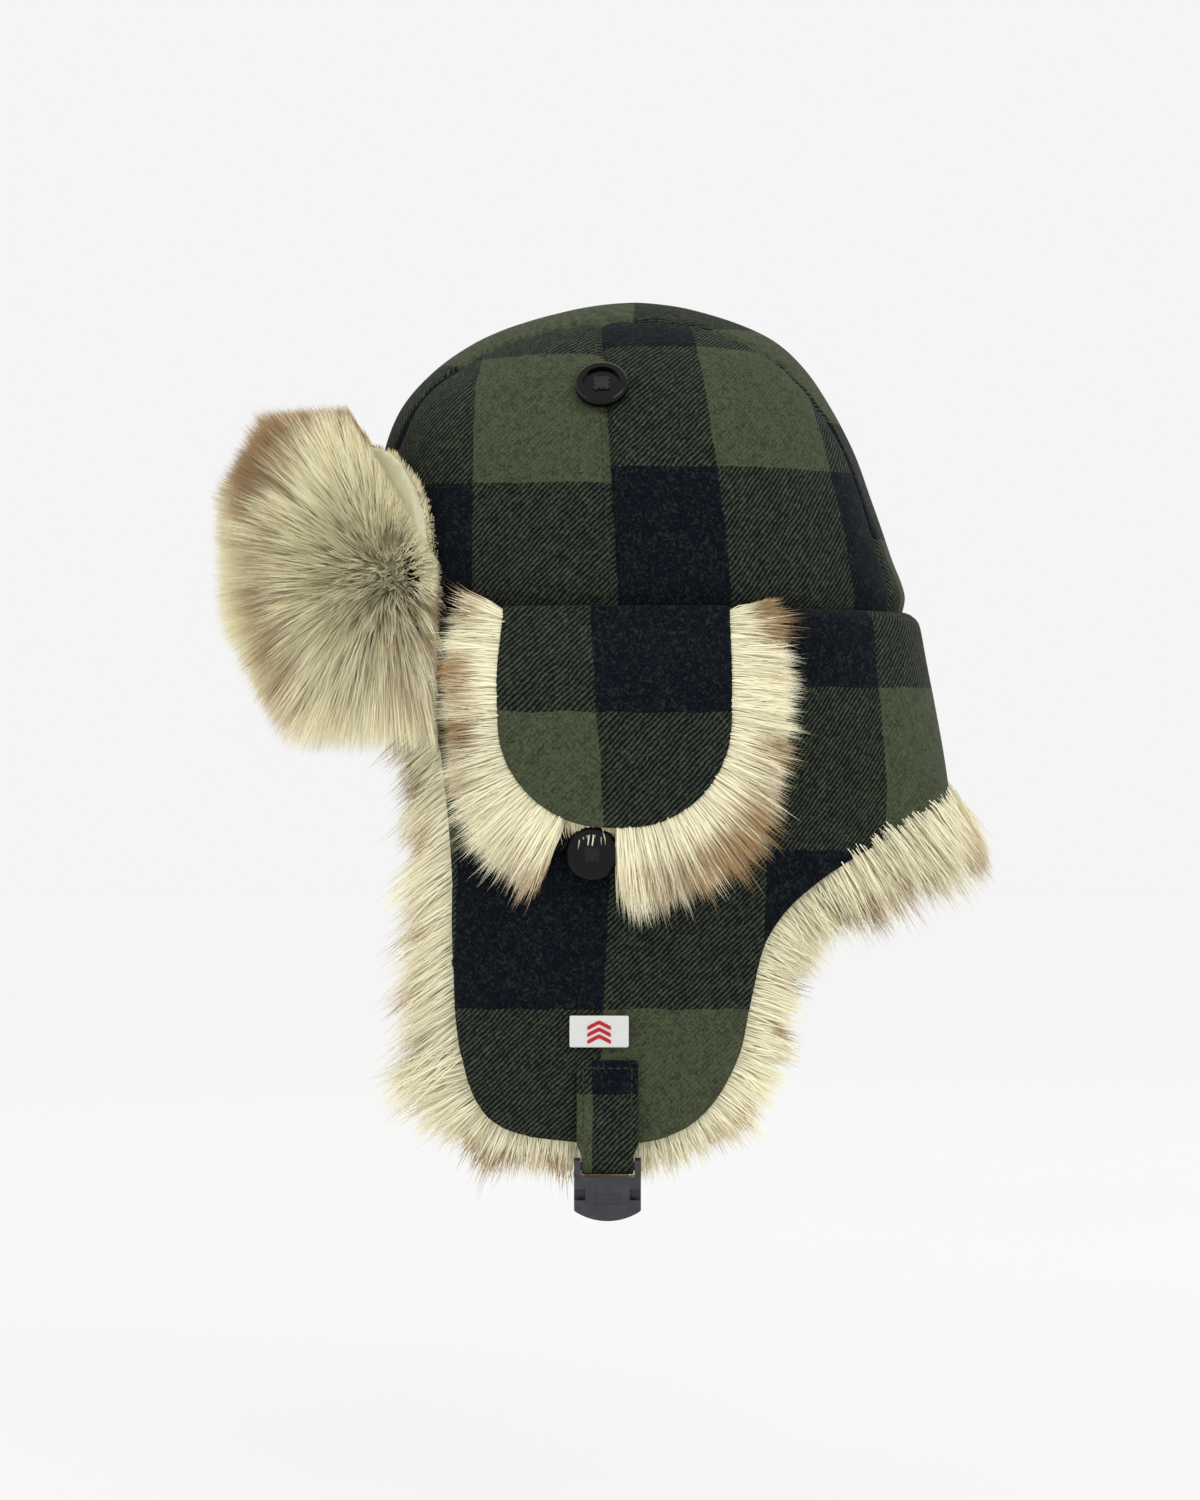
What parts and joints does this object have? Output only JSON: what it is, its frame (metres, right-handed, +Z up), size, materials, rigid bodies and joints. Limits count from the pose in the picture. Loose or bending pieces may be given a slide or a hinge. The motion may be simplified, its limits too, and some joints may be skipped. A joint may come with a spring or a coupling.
{
  "type": "trapper hat",
  "caption": "Plaid wool trapper hat with faux-fur visor and ear flaps, buttoned hearing hatches and a side-release chin buckle.",
  "frame": {"origin": "centre of the head opening, level with the seam between the crown and the curtain", "axes": "+Z up towards the crown's top, -Y towards the wearer's front, +X towards the wearer's left"},
  "size_m": [0.1937, 0.2877, 0.363],
  "materials": {
    "plaid_wool": "felted melton wool in a green and black buffalo check",
    "faux_fur": "long cream pile with brown tips",
    "satin_lining": "smooth dark satin",
    "wadding": "white fibre wadding",
    "button_plastic": "polished black",
    "buckle_plastic": "moulded black acetal, semi-gloss",
    "sewing_thread": "black waxed thread",
    "elastic_cord": "black braided elastic",
    "label_weave": "white damask weave with a plain red motif"
  },
  "bodies": {
    "crown": {"crown_centre_panel": "plaid_wool", "crown_wadding": "wadding", "crown_lining": "satin_lining", "brow_band": "plaid_wool", "brow_lining": "satin_lining", "button_threads": "sewing_thread", "crown_left_front_panel": "plaid_wool", "crown_left_rear_panel": "plaid_wool", "left_curtain_shell": "plaid_wool", "left_curtain_fur": "faux_fur", "left_crown_button": "button_plastic", "left_hatch_button": "button_plastic", "crown_right_front_panel": "plaid_wool", "crown_right_rear_panel": "plaid_wool", "right_curtain_shell": "plaid_wool", "right_curtain_fur": "faux_fur", "right_crown_button": "button_plastic", "right_hatch_button": "button_plastic"},
    "visor": {"visor_shell": "plaid_wool", "visor_wadding": "wadding", "visor_fur": "faux_fur"},
    "left_ear_flap": {"left_ear_flap_shell": "plaid_wool", "left_ear_flap_fur": "faux_fur", "left_strap_tab": "plaid_wool", "woven_label": "label_weave"},
    "left_hatch": {"left_hatch_shell": "plaid_wool", "left_hatch_fur": "faux_fur", "left_hatch_loop": "elastic_cord"},
    "right_ear_flap": {"right_ear_flap_shell": "plaid_wool", "right_ear_flap_fur": "faux_fur", "right_strap_tab": "plaid_wool"},
    "right_hatch": {"right_hatch_shell": "plaid_wool", "right_hatch_fur": "faux_fur", "right_hatch_loop": "elastic_cord"},
    "buckle_socket": {"buckle_socket": "buckle_plastic"},
    "buckle_plug": {"buckle_plug": "buckle_plastic"}
  },
  "joints": [
    {"name": "visor_fold", "type": "hinge", "parent": "crown", "child": "visor", "pos_m": [0, -0.112, -0.0236], "axis": [1, 0, 0], "range_deg": [0, 100]},
    {"name": "left_ear_flap_fold", "type": "hinge", "parent": "crown", "child": "left_ear_flap", "pos_m": [0.0877, 0, -0.13], "axis": [0, -1, 0], "range_deg": [-40, 155]},
    {"name": "left_hatch_fold", "type": "hinge", "parent": "crown", "child": "left_hatch", "pos_m": [0.0866, 0, -0.001], "axis": [0, -1, 0], "range_deg": [0, 155], "deforming": ["left_hatch_loop"]},
    {"name": "buckle_socket_swing", "type": "hinge", "parent": "left_ear_flap", "child": "buckle_socket", "pos_m": [0.0807, -0.0163, -0.2186], "axis": [0, -1, 0], "range_deg": [-45, 100]},
    {"name": "right_ear_flap_fold", "type": "hinge", "parent": "crown", "child": "right_ear_flap", "pos_m": [-0.0877, 0, -0.13], "axis": [0, 1, 0], "range_deg": [-40, 155]},
    {"name": "right_hatch_fold", "type": "hinge", "parent": "crown", "child": "right_hatch", "pos_m": [-0.0866, 0, -0.001], "axis": [0, 1, 0], "range_deg": [0, 155], "deforming": ["right_hatch_loop"]},
    {"name": "buckle_plug_swing", "type": "hinge", "parent": "right_ear_flap", "child": "buckle_plug", "pos_m": [-0.0807, -0.0163, -0.2186], "axis": [0, 1, 0], "range_deg": [-45, 100]}
  ]
}
